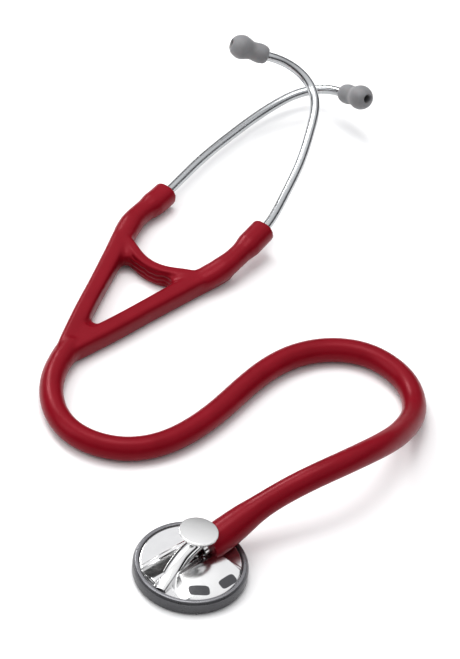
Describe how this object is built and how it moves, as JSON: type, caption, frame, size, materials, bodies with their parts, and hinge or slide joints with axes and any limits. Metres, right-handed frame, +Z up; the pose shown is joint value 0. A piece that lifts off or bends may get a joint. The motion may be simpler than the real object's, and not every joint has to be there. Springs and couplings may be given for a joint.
{
  "type": "stethoscope",
  "caption": "Single-sided stethoscope: steel chestpiece with a rimmed diaphragm, flexible tubing, sprung yoke and curved ear tubes with soft tips.",
  "frame": {"origin": "centre of the chestpiece's contact face, in the plane that the rim and diaphragm rest on", "axes": "+Z up, away from the surface that the object lies on; +Y from the chestpiece towards the headset; +X to the right of that"},
  "size_m": [0.173, 0.3419, 0.0484],
  "materials": {
    "polished_steel": "polished cast stainless steel, mirror-like",
    "cap_steel": "flat, finely turned and polished",
    "stem_steel": "machined",
    "rim": "dark grey, satin",
    "surround": "matt black",
    "diaphragm": "fine fibre-laminate texture",
    "tubing": "burgundy soft PVC, satin with a soft sheen",
    "leaf_spring": "rolled spring steel",
    "ear_tube": "polished tube",
    "tip_insert": "firm moulded core",
    "ear_tip": "grey soft-touch silicone, matt"
  },
  "bodies": {
    "tubing": {"chestpiece_body": "polished_steel", "thumb_cap": "cap_steel", "stem_barb": "stem_steel", "rim_ring": "rim", "diaphragm_surround": "surround", "hose_socket": "tubing", "hose": "tubing", "yoke_body": "tubing", "leaf_spring_inner": "leaf_spring", "leaf_spring_outer": "leaf_spring"},
    "diaphragm": {"diaphragm": "diaphragm"},
    "left_arm": {"left_arm": "tubing"},
    "right_arm": {"right_arm": "tubing"},
    "left_tube": {"left_ear_tube": "ear_tube", "left_tip_insert": "tip_insert"},
    "right_tube": {"right_ear_tube": "ear_tube", "right_tip_insert": "tip_insert"},
    "left_tip": {"left_ear_tip": "ear_tip"},
    "right_tip": {"right_ear_tip": "ear_tip"}
  },
  "joints": [
    {"name": "diaphragm_press", "type": "slide", "parent": "tubing", "child": "diaphragm", "axis": [0, 0, 1], "range_m": [0, 0.0004], "stiffness_N_per_m": 2000},
    {"name": "left_spread", "type": "hinge", "parent": "tubing", "child": "left_arm", "pos_m": [-0.04822, 0.20089, 0.0056], "axis": [0, 0, 1], "range_deg": [0, 28], "stiffness_Nm_per_rad": 0.8},
    {"name": "right_spread", "type": "hinge", "parent": "tubing", "child": "right_arm", "pos_m": [-0.01045, 0.17952, 0.0056], "axis": [0, 0, -1], "range_deg": [0, 28], "stiffness_Nm_per_rad": 0.8},
    {"name": "left_tube_turn", "type": "hinge", "parent": "left_arm", "child": "left_tube", "pos_m": [-0.03051, 0.23626, 0.006], "axis": [0.5211, 0.8535, 0], "range_deg": [0, 15]},
    {"name": "right_tube_turn", "type": "hinge", "parent": "right_arm", "child": "right_tube", "pos_m": [0.01614, 0.21331, 0.011], "axis": [0.5019, 0.8617, 0.0748], "range_deg": [0, 15]},
    {"name": "left_tip_pull", "type": "slide", "parent": "left_tube", "child": "left_tip", "axis": [0.64, -0.63, 0.44], "range_m": [0, 0.012]},
    {"name": "right_tip_pull", "type": "slide", "parent": "right_tube", "child": "right_tip", "axis": [-0.9427, -0.05, 0.3299], "range_m": [0, 0.012]}
  ]
}
